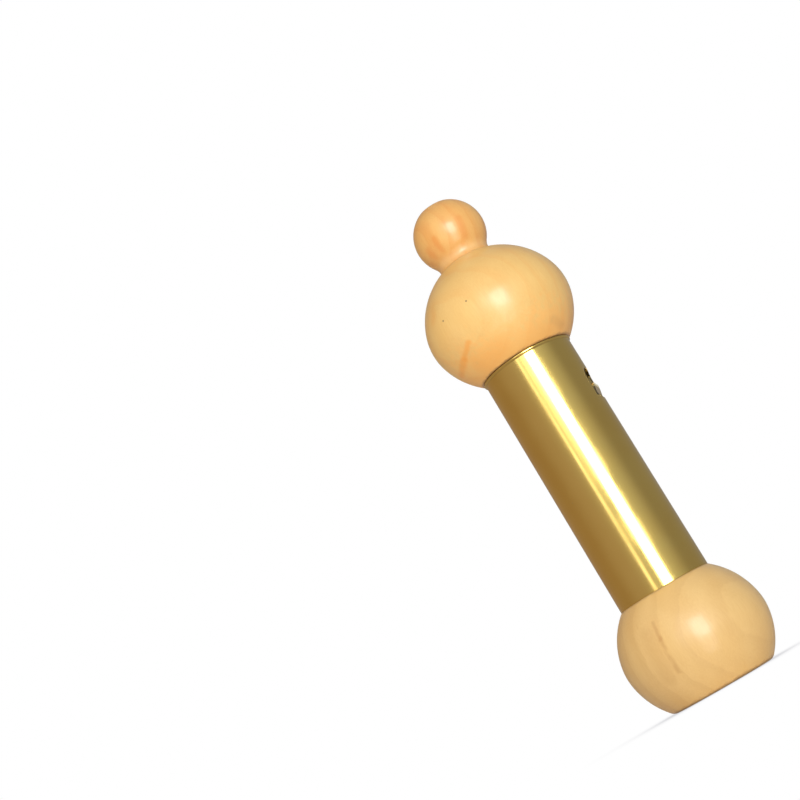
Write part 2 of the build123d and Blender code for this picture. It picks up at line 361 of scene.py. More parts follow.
# Painted shade in the slits beside the lip, along the window's sides and along the lip's fold
PAINTED_SLIT_SHADE: Colour = (0.03, 0.022, 0.008)
# Painted glint, near white, on the tip of the lip
PAINTED_LIP_GLINT: Colour = (0.95, 0.95, 0.74)
# Dark tarnish and painted shade inside the tube's bore
BORE_TARNISH_AND_SHADE: Colour = (0.09, 0.055, 0.02)


@dataclass(frozen=True)
class Streak:
    """One ragged streak of grain, of a smudge, of painted shade or of a painted glint, from start
    to end, in millimetres.
    """

    start: Place
    end: Place
    width: float
    strength: float
    tint: Colour | None = None
    sway: float = 0.8

    def pair(self) -> tuple["Streak", "Streak"]:
        """Return this streak and its mirror image on the other side of the window's middle."""
        start, end = ((x, -y, z) for x, y, z in (self.start, self.end))
        return self, replace(self, start=start, end=end)


@dataclass(frozen=True)
class Seam:
    """A ring of painted shade and grime in a joint, or a band of another tint such as painted warm
    light or a painted highlight, round one height in millimetres.
    """

    level: float
    reach: float
    strength: float
    tint: Colour = GRIME_AND_SHADE_COLOUR


class Paint:
    """A material in the making: its node sheet, its shader and places in millimetres."""

    def __init__(self, name: str) -> None:
        """Start a material with a shader and a coordinate in millimetres."""
        self.material = bpy.data.materials.new(name)
        self.material.use_nodes = True
        self.sheet = NodeSheet(self.material.node_tree)
        self.shader = self.sheet.place("BsdfPrincipled")
        output = self.sheet.place("OutputMaterial")
        self.material.node_tree.links.new(self.shader.outputs[0], output.inputs["Surface"])
        coordinates = self.sheet.place("TexCoord").outputs["Object"]
        self.place = self.sheet.scaled(coordinates, 1.0 / MM)

    def effect(self, name: str, **values: object) -> Outputs:
        """Place a shared effect and return its outputs.

        Args:
            name: The effect's group name.
            values: Input name, with underscores for spaces, to its value.

        Returns:
            The outputs of the placed group.
        """
        node = self.sheet.place("Group", node_tree=EFFECTS[name])
        self.material.node_tree.links.new(self.place, node.inputs["Place"])
        for label, value in values.items():
            node.inputs[label.replace("_", " ")].default_value = value
        return node.outputs

    def streak_mask(self, streak: Streak) -> Socket:
        """Place a streak and return the socket of its mask, at its strength."""
        ends = {"Start": streak.start, "End": streak.end}
        mask = self.effect("ragged_streak", **ends, Width=streak.width, Sway=streak.sway)["Mask"]
        return self.sheet.sum("MULTIPLY", mask, streak.strength)

    def seamed(self, colour: Socket, seam: Seam) -> Socket:
        """Lay a seam's ring over a colour and return the new colour's socket."""
        mask = self.effect("seam_shade", Level=seam.level, Reach=seam.reach)["Mask"]
        return self.sheet.mix(self.sheet.sum("MULTIPLY", mask, seam.strength), colour, seam.tint)

    def wire(self, socket: Socket, name: str) -> None:
        """Feed one of the shader's inputs."""
        self.material.node_tree.links.new(socket, self.shader.inputs[name])

    def plain(self, **values: object) -> None:
        """Set the shader's inputs that are the same all over."""
        for label, value in values.items():
            self.shader.inputs[label.replace("_", " ")].default_value = value

    def bump(self, height: Socket, distance: float, strength: float) -> None:
        """Raise the surface by a height map, with distance in metres."""
        inputs = {"Height": height, "Distance": distance, "Strength": strength}
        self.wire(self.sheet.place("Bump", inputs).outputs[0], "Normal")


@dataclass(frozen=True)
class WoodFinish:
    """Turned beech under varnish, or bare where it is hidden."""

    name: str
    pale: Colour
    deep: Colour
    streak_colour: Colour
    pith: Place
    band_pitch: float = 3.4
    band_share: float = 0.22
    cloud_share: float = 0.5
    fleck_share: float = 0.3
    waver: float = 5.0
    roughness: float = 0.4
    coat: float = 0.5
    coat_roughness: float = 0.2
    streaks: tuple[Streak, ...] = ()
    seams: tuple[Seam, ...] = ()
    specks: tuple[Place, ...] = ()

    def colour(self, paint: Paint, figure: Outputs) -> Socket:
        """Mix the wood's colour from its figure, streaks, specks and seams.

        Args:
            paint: The material in the making.
            figure: The outputs of the placed wood figure.

        Returns:
            The colour's socket.
        """
        sheet = paint.sheet
        clouds = sheet.ramp(figure["Clouds"], 0.3, 0.75, 0.0, self.cloud_share)
        colour = sheet.mix(clouds, self.pale, self.deep)
        bands = sheet.sum("MULTIPLY", figure["Bands"], self.band_share)
        colour = sheet.mix(bands, colour, self.streak_colour)
        fibres = sheet.ramp(figure["Fibres"], 0.3, 0.72, 0.0, 0.13)
        colour = sheet.mix(fibres, colour, self.deep, "MULTIPLY")
        flecks = sheet.sum("MULTIPLY", figure["Flecks"], self.fleck_share)
        colour = sheet.mix(flecks, colour, self.streak_colour)
        for streak in self.streaks:
            colour = sheet.mix(paint.streak_mask(streak), colour, streak.tint or self.streak_colour)
        for place in self.specks:
            away = sheet.length("DISTANCE", paint.place, place)
            colour = sheet.mix(sheet.ramp(away, 0.1, 0.28, 0.8, 0.0), colour, SPECK_COLOUR)
        # The seams lay painted shade and grime in the joints, and painted bands of light
        for seam in self.seams:
            colour = paint.seamed(colour, seam)
        return colour

    def material(self) -> bpy.types.Material:
        """Build the finish as a material."""
        paint = Paint(self.name)
        sheet = paint.sheet
        bands = {"Pith": self.pith, "Band_Pitch": self.band_pitch, "Waver": self.waver}
        figure = paint.effect("wood_figure", **bands)
        paint.wire(self.colour(paint, figure), "Base Color")
        smudge = paint.effect("handling_marks", Patch=6.0)["Smudge"]
        low, high = self.roughness - 0.04, self.roughness + 0.08
        paint.wire(sheet.ramp(smudge, 0.0, 1.0, low, high), "Roughness")
        paint.plain(Coat_Weight=self.coat, Coat_Roughness=self.coat_roughness)
        flecks = sheet.sum("MULTIPLY", figure["Flecks"], 0.5)
        paint.bump(sheet.sum("SUBTRACT", figure["Fibres"], flecks), 0.02 * MM, 0.35)
        return paint.material


@dataclass(frozen=True)
class BrassFinish:
    """Drawn brass, polished, with a little tarnish, a painted glint on the lip, painted shade in
    the window's slits and under the flared rim, and dark and dull inside its bore, which is tarnish
    and painted shade.

    The bore's radius is in millimetres, or 0 for brass without one, and the lines' depth in metres.
    """

    name: str
    bright: Colour
    tarnish: Colour
    roughness: float
    line_depth: float
    bore: float = 0.0
    streaks: tuple[Streak, ...] = ()
    seams: tuple[Seam, ...] = ()

    def material(self) -> bpy.types.Material:
        """Build the finish as a material."""
        paint = Paint(self.name)
        sheet = paint.sheet
        smudge = paint.effect("handling_marks", Patch=9.0)["Smudge"]
        colour = sheet.mix(sheet.sum("MULTIPLY", smudge, 0.35), self.bright, self.tarnish)
        specks = paint.effect("scattered_specks", Spacing=3.2, Share=0.35, Size=0.13)["Mask"]
        colour = sheet.mix(sheet.sum("MULTIPLY", specks, 0.85), colour, TARNISH_AND_SHADE_COLOUR)
        dulled = sheet.sum("MULTIPLY", specks, 0.4)
        # Inside the bore the brass turns dark and dull: tarnish and painted shade inside the tube
        if self.bore:
            across = sheet.vector("MULTIPLY", paint.place, (1.0, 1.0, 0.0))
            from_axis = sheet.length("LENGTH", across)
            inside = sheet.ramp(from_axis, self.bore, self.bore + 0.04, 0.85, 0.0)
            colour = sheet.mix(inside, colour, BORE_TARNISH_AND_SHADE)
            dulled = sheet.sum("MAXIMUM", dulled, inside)
        # Streaks paint the lip's glint and the shade in the window's slits
        for streak in self.streaks:
            mask = paint.streak_mask(streak)
            colour = sheet.mix(mask, colour, streak.tint or TARNISH_AND_SHADE_COLOUR)
            dulled = sheet.sum("MAXIMUM", dulled, mask)
        for seam in self.seams:
            colour = paint.seamed(colour, seam)
        paint.wire(colour, "Base Color")
        drawn = sheet.vector("MULTIPLY", paint.place, (7.0, 7.0, 0.05))
        lines = sheet.noise(drawn, 1.0, 4.0, 0.65)[0]
        dull = sheet.ramp(smudge, 0.0, 1.0, self.roughness, self.roughness + 0.07)
        rough = sheet.sum("ADD", dull, sheet.ramp(lines, 0.35, 0.75, -0.02, 0.04))
        paint.wire(sheet.sum("ADD", rough, sheet.sum("MULTIPLY", dulled, 0.6)), "Roughness")
        if self.streaks:
            paint.wire(sheet.sum("SUBTRACT", 1.0, dulled), "Metallic")
        else:
            paint.plain(Metallic=1.0)
        paint.bump(lines, self.line_depth, 0.3)
        return paint.material


@dataclass(frozen=True)
class LeatherFinish:
    """Greased leather with a fine pebbled grain."""

    name: str
    pale: Colour
    deep: Colour
    roughness: float = 0.5

    def material(self) -> bpy.types.Material:
        """Build the finish as a material."""
        paint = Paint(self.name)
        sheet = paint.sheet
        inputs = {"Vector": paint.place, "Scale": 3.5}
        pebbles = sheet.place("TexVoronoi", inputs, feature="SMOOTH_F1").outputs["Distance"]
        height = sheet.ramp(pebbles, 0.05, 0.6, 1.0, 0.0)
        smudge = paint.effect("handling_marks", Patch=2.5)["Smudge"]
        colour = sheet.mix(smudge, self.pale, self.deep)
        paint.wire(sheet.mix(height, self.deep, colour), "Base Color")
        paint.wire(sheet.ramp(smudge, 0.0, 1.0, self.roughness, self.roughness + 0.2), "Roughness")
        paint.bump(height, 0.06 * MM, 0.6)
        return paint.material


Finish = WoodFinish | BrassFinish | LeatherFinish

HEAD_WOOD = WoodFinish(
    "beech_head",
    pale=(0.77, 0.512, 0.18),
    deep=(0.725, 0.418, 0.122),
    streak_colour=(0.76, 0.31, 0.05),
    pith=(22.0, 30.0, 79.0),
    band_share=0.14,
    streaks=(
        Streak((-5.7, -12.6, 75.2), (-8.5, -10.0, 73.6), 0.9, 0.7),
        Streak((-8.5, -10.0, 73.6), (-11.6, -4.5, 72.4), 1.1, 0.7),
        Streak((-1.4, -12.0, 71.9), (-6.0, -9.7, 70.9), 3.0, 0.3),
        Streak((-9.0, -10.3, 84.2), (-9.6, -9.6, 83.0), 1.6, 0.25),
        Streak((9.2, -7.2, 71.4), (9.9, -4.5, 70.4), 1.4, 0.3, SMUDGE_COLOUR),
    ),
    seams=(
        # Painted warm reflected light, more orange towards the bottom of the ball
        Seam(69.2, 9.0, 0.4, (0.96, 0.41, 0.075)),
        # Painted shade and grime in the joint over the tube's rim and under the mouthpiece
        Seam(69.2, 0.45, 0.8),
        Seam(92.0, 0.35, 0.2),
    ),
    specks=((-1.92, -14.3, 81.6), (-7.78, -12.17, 81.46)),
)
HANDLE_WOOD = WoodFinish(
    "beech_handle",
    pale=(0.75, 0.51, 0.205),
    deep=(0.69, 0.435, 0.152),
    streak_colour=(0.54, 0.3, 0.1),
    pith=(-26.0, 12.0, 9.0),
    band_pitch=4.2,
    band_share=0.16,
    streaks=(
        Streak((-3.3, -12.3, 15.5), (-3.5, -13.4, 12.2), 0.55, 0.6),
        Streak((-3.5, -13.4, 12.2), (-3.7, -13.3, 6.0), 0.7, 0.6),
        Streak((-5.2, -12.4, 14.0), (-5.9, -12.4, 6.0), 2.4, 0.28),
    ),
    # Painted shade and grime where the tube meets the handle, and painted shade round the foot
    # where it stands
    seams=(Seam(19.9, 0.35, 0.45), Seam(0.0, 0.7, 0.6)),
)
MOUTHPIECE_WOOD = WoodFinish(
    "beech_mouthpiece",
    pale=(0.76, 0.44, 0.137),
    deep=(0.705, 0.318, 0.067),
    streak_colour=(0.68, 0.23, 0.035),
    pith=(14.0, 9.0, 97.0),
    band_pitch=2.6,
    band_share=0.2,
    streaks=(
        Streak((-2.0, -6.2, 94.8), (-2.1, -6.8, 97.5), 1.0, 0.5),
        Streak((-4.2, -5.0, 94.8), (-4.5, -5.2, 96.8), 1.2, 0.4),
        Streak((3.4, -5.5, 94.9), (3.9, -5.9, 98.6), 1.2, 0.4),
    ),
    # A painted highlight paling the neck's cove, and painted shade and grime at the mouthpiece's
    # foot
    seams=(Seam(93.1, 1.4, 0.3, (0.76, 0.52, 0.26)), Seam(92.0, 0.3, 0.25)),
)
INNER_WOOD = WoodFinish(
    "bare_beech",
    pale=(0.66, 0.46, 0.26),
    deep=(0.56, 0.36, 0.18),
    streak_colour=(0.4, 0.22, 0.1),
    pith=(16.0, -11.0, 40.0),
    roughness=0.6,
    coat=0.0,
)
TUBE_BRASS = BrassFinish(
    "drawn_brass",
    bright=(0.8, 0.58, 0.17),
    tarnish=(0.7, 0.46, 0.11),
    roughness=0.15,
    line_depth=0.004 * MM,
    # The bore is dark: tarnish and painted shade inside the tube
    bore=8.51,
    streaks=(
        # Painted glint on the lip's tip
        Streak((8.95, -2.0, 58.35), (8.95, 2.0, 58.35), 0.6, 0.9, PAINTED_LIP_GLINT, 0.1),
        # Painted shade in the slits beside the lip, along the window's sides and along the lip's
        # fold
        *Streak((8.45, -2.88, 56.3), (8.75, -2.88, 58.3), 0.6, 1.0, PAINTED_SLIT_SHADE, 0.1).pair(),
        *Streak((8.3, -2.95, 58.6), (8.3, -2.95, 60.6), 0.55, 0.9, PAINTED_SLIT_SHADE, 0.1).pair(),
        *Streak((8.57, -2.75, 56.4), (8.85, -0.2, 55.85), 0.65, 0.95, PAINTED_SLIT_SHADE, 0.1).pair(),
    ),
    # Painted shade line in the crease under the flared rim
    seams=(Seam(68.65, 0.1, 0.25, TARNISH_AND_SHADE_COLOUR),),
)
HARDWARE_BRASS = BrassFinish(
    "turned_brass",
    bright=(0.78, 0.57, 0.2),
    tarnish=(0.62, 0.4, 0.12),
    roughness=0.22,
    line_depth=0.006 * MM,
)
SEAL_LEATHER = LeatherFinish("greased_leather", pale=(0.3, 0.15, 0.07), deep=(0.16, 0.075, 0.03))


@dataclass
class Outline:
    """Half section of a turned piece, as points of radius and height in metres."""

    points: list[Point] = field(default_factory=list)

    def add(self, point: Point) -> None:
        """Go on to a point, in place of the last one where that lies within a hair of it."""
        if self.points and math.dist(self.points[-1], point) < HAIR:
            self.points.pop()
        self.points.append(point)

    def line(self, *points: Point) -> "Outline":
        """Run straight through the points."""
        for point in points:
            self.add(point)
        return self

    def side(self, radius: float, low: float, high: float, edge: float) -> "Outline":
        """Run up a straight outer side with a chamfer at each end.

        Args:
            radius: The side's radius.
            low: Height of its lower end.
            high: Height of its upper end.
            edge: Width of both chamfers.

        Returns:
            This outline.
        """
        return self.line(
            (radius - edge, low), (radius, low + edge), (radius, high - edge), (radius - edge, high)
        )

    def arc(self, centre: Point, radius: float, start: float, end: float, steps: int) -> "Outline":
        """Follow an arc.

        Args:
            centre: The arc's centre, as radius and height.
            radius: The arc's own radius.
            start: Where it starts, in degrees above the outward direction.
            end: Where it ends, in degrees.
            steps: How many straight steps stand for it.

        Returns:
            This outline.
        """
        for step in range(steps + 1):
            angle = math.radians(start + (end - start) * step / steps)
            across, up = radius * math.cos(angle), radius * math.sin(angle)
            self.add((centre[0] + across, centre[1] + up))
        return self


def deselect() -> None:
    """Leave no object selected."""
    bpy.ops.object.select_all(action="DESELECT")


def take(piece: Piece) -> None:
    """Make one piece the only selected and the active one."""
    deselect()
    piece.select_set(True)
    bpy.context.view_layer.objects.active = piece


def start_edit(piece: Piece, kind: Pick = Pick.VERTICES, chosen: Choice | None = None) -> None:
    """Open one piece in edit mode.

    Args:
        piece: The piece to edit.
        kind: What is picked.
        chosen: Says which of them start out selected. All of them do without it.
    """
    take(piece)
    mesh = piece.data
    picks = {Pick.VERTICES: mesh.vertices, Pick.EDGES: mesh.edges, Pick.FACES: mesh.polygons}
    for items in picks.values():
        items.foreach_set("select", [False] * len(items))
    for item in picks[kind]:
        item.select = chosen is None or chosen(item)
    bpy.context.scene.tool_settings.mesh_select_mode = [kind is pick for pick in Pick]
    bpy.ops.object.mode_set(mode="EDIT")
    bpy.ops.mesh.select_mode(type=kind.value)


def end_edit() -> None:
    """Go back to object mode."""
    bpy.ops.object.mode_set(mode="OBJECT")


def settle(piece: Piece) -> None:
    """Put a new primitive's place and size into its mesh."""
    take(piece)
    bpy.ops.object.transform_apply(location=True, rotation=True, scale=True)


def add_block(size: Sequence[float], centre: Sequence[float]) -> Piece:
    """Add a plain block to cut with.

    Args:
        size: Its length along each axis.
        centre: Where its middle lies.

    Returns:
        The block.
    """
    deselect()
    bpy.ops.mesh.primitive_cube_add(size=1.0, location=centre)
    block = bpy.context.object
    block.scale = size
    settle(block)
    return block


def apply_modifier(piece: Piece, kind: str, **settings: object) -> None:
    """Add a modifier to a piece and apply it at once."""
    take(piece)
    modifier = piece.modifiers.new(kind.lower(), kind)
    for name, value in settings.items():
        setattr(modifier, name, value)
    bpy.ops.object.modifier_apply(modifier=modifier.name)


def combine(piece: Piece, solid: Piece, operation: str) -> None:
    """Cut a solid out of a piece, or fuse it to the piece, and drop the solid.

    Args:
        piece: The piece that is kept.
        solid: The solid that is used up.
        operation: DIFFERENCE or UNION.
    """
    apply_modifier(piece, "BOOLEAN", operation=operation, solver="EXACT", object=solid)
    bpy.data.objects.remove(solid)


def weld(piece: Piece, reach: float = SLIVER) -> None:
    """Merge points of a piece that lie within reach of each other, and drop slivers."""
    start_edit(piece)
    bpy.ops.mesh.remove_doubles(threshold=reach)
    bpy.ops.mesh.dissolve_degenerate(threshold=reach)
    end_edit()


def join(piece: Piece, other: Piece) -> None:
    """Make another mesh part of a piece."""
    take(piece)
    other.select_set(True)
    bpy.ops.object.join()


def smooth(piece: Piece, angle: float = CRISP_ANGLE) -> None:
    """Shade a piece smoothly, with edges sharper than the angle in degrees left crisp."""
    take(piece)
    bpy.ops.object.shade_smooth_by_angle(angle=math.radians(angle))
    apply_modifier(piece, "WEIGHTED_NORMAL", keep_sharp=True)


def turn(
    name: str, outline: Outline, steps: int = TURN_STEPS, edge: float = TURNED_EDGE
) -> Piece:
    """Turn a half section round the pipe's axis, as on a lathe, and ease its edges.

    Args:
        name: The piece's name.
        outline: The half section. It ends where it starts, or both ends lie on the axis.
        steps: How many steps make the full turn.
        edge: Width of the eased edges.

    Returns:
        The turned piece.
    """
    deselect()
    first, *others = outline.points
    bpy.ops.mesh.primitive_plane_add(size=MM, location=(first[0], 0.0, first[1]))
    piece = bpy.context.object
    piece.name = piece.data.name = name
    settle(piece)
    start_edit(piece)
    bpy.ops.mesh.merge(type="CENTER")
    last = first
    for point in others:
        step = (point[0] - last[0], 0.0, point[1] - last[1])
        bpy.ops.mesh.extrude_region_move(TRANSFORM_OT_translate={"value": step})
        last = point
    bpy.ops.mesh.select_all(action="SELECT")
    bpy.ops.mesh.spin(steps=steps, angle=FULL_TURN, center=(0.0, 0.0, 0.0), axis=(0.0, 0.0, 1.0))
    bpy.ops.mesh.select_all(action="SELECT")
    bpy.ops.mesh.remove_doubles(threshold=SAME_POINT)
    bpy.ops.mesh.normals_make_consistent(inside=False)
    end_edit()
    limit = {"limit_method": "ANGLE", "angle_limit": math.radians(EASED_ANGLE)}
    apply_modifier(piece, "BEVEL", width=edge, segments=2, **limit)
    weld(piece, SAME_POINT)
    smooth(piece)
    return piece


def finish_material(finish: Finish) -> bpy.types.Material:
    """Return the finish's material, built the first time that it is asked for."""
    return bpy.data.materials.get(finish.name) or finish.material()


def dress(piece: Piece, finish: Finish, body: Body, slot: Slot, node: str) -> Piece:
    """Give a new piece its finish and its place in the frame.

    Args:
        piece: The finished mesh.
        finish: What it is made of.
        body: The body that it moves with.
        slot: The record's slot for its material. It is not used.
        node: The frame's node that it stands for.

    Returns:
        The piece.
    """
    piece.data.materials.clear()
    piece.data.materials.append(finish_material(finish))
    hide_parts(node)
    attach(piece, body.value)
    log.info("%s: %d faces, rides on %s", piece.name, len(piece.data.polygons), body.value)
    return piece


def cap_radius(radius: float, half_height: float) -> float:
    """Return the radius of the spherical caps that run on from a turned ball's belt."""
    belt = BELT_SHARE * radius
    return ((radius - belt) ** 2 + half_height**2 - belt**2) / (2 * (half_height - belt))


def ball_side(
    outline: Outline, centre: float, radius: float, half_height: float, bottom: float, top: float
) -> Outline:
    """Draw a turned ball's side: a belt round its equator that runs on into two spherical caps.

    Args:
        outline: The outline that goes on.
        centre: Height of the equator.
        radius: Radius at the equator.
        half_height: Half of the whole ball's height.
        bottom: Radius at the lower end.
        top: Radius at the upper end.

    Returns:
        The outline.
    """
    belt = BELT_SHARE * radius
    offset = radius - belt
    cap = cap_radius(radius, half_height)
    shift = cap - half_height
    belt_angle = math.degrees(math.atan2(shift, offset))
    bottom_angle, top_angle = (math.degrees(math.acos(end / cap)) for end in (bottom, top))
    outline.arc((0.0, centre + shift), cap, -bottom_angle, -belt_angle, 24)
    outline.arc((offset, centre), belt, -belt_angle, belt_angle, 8)
    return outline.arc((0.0, centre - shift), cap, belt_angle, top_angle, 24)


@dataclass
class Head:
    """The head ball and the mouthpiece above it. Sizes are in metres."""

    ball_flattening: float = 2.0 * MM
    equator_rise: float = 10.28 * MM
    seat_radius: float = 9.3 * MM
    neck_seat_radius: float = 5.7 * MM
    block_socket: float = 5.55 * MM
    block_socket_depth: float = 9.525 * MM
    mouth_socket: float = 4.05 * MM
    mouth_socket_depth: float = 9.2 * MM
    air_radius: float = 2.0 * MM
    tenon_radius: float = 4.0 * MM
    tenon_length: float = 9.0 * MM
    neck_foot_radius: float = 5.55 * MM
    neck_height: float = 2.4 * MM
    cove_depth: float = 0.35 * MM
    knob_neck_drop: float = 4.2 * MM
    knob_end_rounding: float = 0.7 * MM
    bore_rounding: float = 0.45 * MM
    eased_edge: float = 0.12 * MM
    cove_steps: int = 14

    def ball(self) -> Piece:
        """Turn the head ball, with its two sockets and the air passage between them."""
        low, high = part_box("head_ball")
        equator = low.z + self.equator_rise
        half_height = high.x - self.ball_flattening / 2
        mouth_floor = high.z - self.mouth_socket_depth
        block_floor = low.z + self.block_socket_depth
        ends = (self.seat_radius, self.neck_seat_radius)
        outline = ball_side(Outline(), equator, high.x, half_height, *ends)
        outline.points[0] = (self.seat_radius, low.z)
        outline.line(
            (self.neck_seat_radius, high.z),
            (self.mouth_socket, high.z),
            (self.mouth_socket, mouth_floor),
            (self.air_radius, mouth_floor),
            (self.air_radius, block_floor),
            (self.block_socket, block_floor),
            (self.block_socket, low.z),
            (self.seat_radius, low.z),
        )
        piece = turn("turned_head", outline, BALL_STEPS)
        return dress(piece, HEAD_WOOD, Body.BARREL, Slot.HEAD, "head_ball")

    def mouthpiece(self) -> Piece:
        """Turn the mouthpiece: tenon, coved neck, small ball and flat end, bored through."""
        low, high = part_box("mouthpiece")
        seat = low.z + self.tenon_length
        crease = seat + self.neck_height
        centre = crease + self.knob_neck_drop
        radius = high.x
        crease_radius = math.sqrt(radius**2 - self.knob_neck_drop**2)
        rounding = self.knob_end_rounding
        edge_height = high.z - rounding
        edge_radius = math.sqrt((radius - rounding) ** 2 - (edge_height - centre) ** 2)
        edge_angle = math.degrees(math.atan2(edge_height - centre, edge_radius))
        crease_angle = -math.degrees(math.asin(self.knob_neck_drop / radius))
        lip = self.bore_rounding
        outline = Outline().line((self.air_radius, low.z))
        outline.line((self.tenon_radius, low.z), (self.tenon_radius, seat))
        self.cove(outline, seat, crease_radius)
        outline.arc((0.0, centre), radius, crease_angle, edge_angle, 40)
        outline.arc((edge_radius, edge_height), rounding, edge_angle, 90.0, 8)
        outline.arc((self.air_radius + lip, high.z - lip), lip, 90.0, 180.0, 8)
        outline.line((self.air_radius, low.z))
        piece = turn("turned_mouthpiece", outline, edge=self.eased_edge)
        return dress(piece, MOUTHPIECE_WOOD, Body.BARREL, Slot.MOUTHPIECE, "mouthpiece")

    def cove(self, outline: Outline, seat: float, crease_radius: float) -> None:
        """Draw the neck's hollow from its foot up to the crease under the small ball.

        Args:
            outline: The outline that goes on.
            seat: Height of the neck's foot.
            crease_radius: Radius at the crease.
        """
        for step in range(self.cove_steps + 1):
            share = step / self.cove_steps
            straight = self.neck_foot_radius + (crease_radius - self.neck_foot_radius) * share
            hollow = self.cove_depth * math.sin(math.pi * share)
            outline.line((straight - hollow, seat + self.neck_height * share))

    def build(self) -> list[Piece]:
        """Make both pieces."""
        return [self.ball(), self.mouthpiece()]


@dataclass
class Pipe:
    """The brass tube with its bush and block. Sizes are in metres."""

    radius: float = 9.0 * MM
    wall: float = 0.5 * MM
    flare_width: float = 0.3 * MM
    flare_height: float = 0.5 * MM
    flare_bend: float = 0.6
    window_drop: float = 7.1 * MM
    window_height: float = 5.6 * MM
    window_width: float = 5.9 * MM
    window_corner: float = 2.0 * MM
    lip_length: float = 2.1 * MM
    lip_lean: float = 0.4 * MM
    lip_slit: float = 0.2 * MM
    lip_corner: float = 1.0 * MM
    lip_overlap: float = 0.1 * MM
    rim_rounding: float = 0.06 * MM
    dent_height: float = 0.9 * MM
    dent_margin: float = 0.1 * MM
    window_margin: float = 0.5 * MM
    cutter_depth: float = 4.0 * MM
    sides: int = 384
    bend_steps: int = 6
    crisp_angle: float = 28.0
    bush_bore: float = 3.08 * MM
    bush_edge: float = 0.4 * MM

    def tube(self) -> Piece:
        """Draw the tube: wall, flared rim, window and the lip below it."""
        low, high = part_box("brass_tube")
        window_top = high.z - self.window_drop
        window_bottom = window_top - self.window_height
        flare_start = high.z - self.flare_height
        shares = [step / self.bend_steps for step in range(self.bend_steps + 1)]
        dent = {}
        for share in shares:
            level = window_bottom - self.dent_height * (1.0 - share)
            dent[level] = self.radius + (self.lip_root - self.radius) * share
        dent[window_bottom + self.dent_margin] = self.lip_root
        levels = [low.z, *dent, window_top + self.window_margin, flare_start]
        rings = [(self.radius, level) for level in levels]
        for share in shares[1:]:
            spread = self.flare_width * share * share * (3.0 - 2.0 * share)
            level = flare_start + self.flare_height * self.flare_bend * share
            rings.append((self.radius + spread, level))
        rings.append((self.radius + self.flare_width, high.z))
        piece = self.roll("drawn_tube", rings)
        for level, depth in dent.items():
            self.flatten(piece, level, depth)
        apply_modifier(piece, "SOLIDIFY", thickness=self.wall, offset=-1.0, use_even_offset=True)
        self.cut_window(piece, window_top, window_bottom)
        combine(piece, self.lip(window_bottom), "UNION")
        weld(piece)
        self.ease_rims(piece, (low.z, high.z))
        apply_modifier(piece, "TRIANGULATE", ngon_method="BEAUTY", min_vertices=5)
        weld(piece)
        smooth(piece, self.crisp_angle)
        return dress(piece, TUBE_BRASS, Body.BARREL, Slot.TUBE, "brass_tube")

    def roll(self, name: str, rings: Sequence[Point]) -> Piece:
        """Raise an open round sheet through rings of the given radii and heights.

        Args:
            name: The sheet's name.
            rings: Radius and height of each ring, from the lowest up.

        Returns:
            The sheet, with its outside facing out.
        """
        deselect()
        radius, height = rings[0]
        middle = (0.0, 0.0, height)
        bpy.ops.mesh.primitive_circle_add(vertices=self.sides, radius=radius, location=middle)
        piece = bpy.context.object
        piece.name = piece.data.name = name
        settle(piece)
        start_edit(piece)
        for wanted, level in rings[1:]:
            step, middle = (0.0, 0.0, level - height), (0.0, 0.0, level)
            bpy.ops.mesh.extrude_region_move(TRANSFORM_OT_translate={"value": step})
            if wanted != radius:
                share = wanted / radius
                bpy.ops.transform.resize(value=(share, share, 1.0), center_override=middle)
            radius, height = wanted, level
        end_edit()
        face = piece.data.polygons[0]
        if face.normal.dot(face.center * Vector((1.0, 1.0, 0.0))) < 0.0:
            start_edit(piece)
            bpy.ops.mesh.flip_normals()
            end_edit()
        return piece

    def lip(self, bottom: float) -> Piece:
        """Shape the lip: a flat tongue on the window's lower side that leans out from its root.

        Args:
            bottom: Height of the window's lower side.

        Returns:
            The tongue, a little narrower than the window, with rounded corners.
        """
        steps = self.bend_steps
        levels = [bottom + self.lip_length * step / steps for step in range(steps + 1)]
        foot = bottom - self.lip_overlap
        tongue = self.roll("flat_lip", [(self.radius, level) for level in (foot, *levels)])
        self.trim(tongue, Vector(), Vector((-1.0, 0.0, 0.0)))
        for side in (-1.0, 1.0):
            self.trim(tongue, Vector((0.0, side * self.lip_half, 0.0)), Vector((0.0, side, 0.0)))
        self.flatten(tongue, foot, self.lip_root, True)
        for step, level in enumerate(levels):
            self.flatten(tongue, level, self.lip_root + self.lip_lean * step / steps, True)
        corner_level = levels[-1] - self.lip_corner
        for side in (-1.0, 1.0):
            centre = Vector((0.0, side * (self.lip_half - self.lip_corner), corner_level))
            for angle in range(15, 90, 15):
                turned = math.radians(angle)
                way = Vector((0.0, side * math.cos(turned), math.sin(turned)))
                self.trim(tongue, centre + way * self.lip_corner, way)
        weld(tongue)
        apply_modifier(tongue, "SOLIDIFY", thickness=self.wall, offset=-1.0, use_even_offset=True)
        return tongue

    @property
    def lip_half(self) -> float:
        """Half of the lip's width."""
        return self.window_width / 2 - self.lip_slit

    @property
    def lip_root(self) -> float:
        """How far out the flat lip's root lies, with its sides on the tube's own round."""
        return math.sqrt(self.radius**2 - self.lip_half**2)

    @staticmethod
    def flatten(sheet: Piece, level: float, depth: float, whole: bool = False) -> None:
        """Press one ring of a sheet flat.

        Args:
            sheet: The rolled sheet.
            level: The ring's height.
            depth: How far out along X the flat lies.
            whole: Whether the ring's points further in come out to the flat as well.
        """

        def pressed(point: bpy.types.MeshVertex) -> bool:
            """Say whether a point is on the ring and moves."""
            return abs(point.co.z - level) < SAME_LEVEL and (whole or point.co.x > depth)

        start_edit(sheet, Pick.VERTICES, pressed)
        bpy.ops.transform.resize(value=(0.0, 1.0, 1.0), center_override=(depth, 0.0, level))
        end_edit()

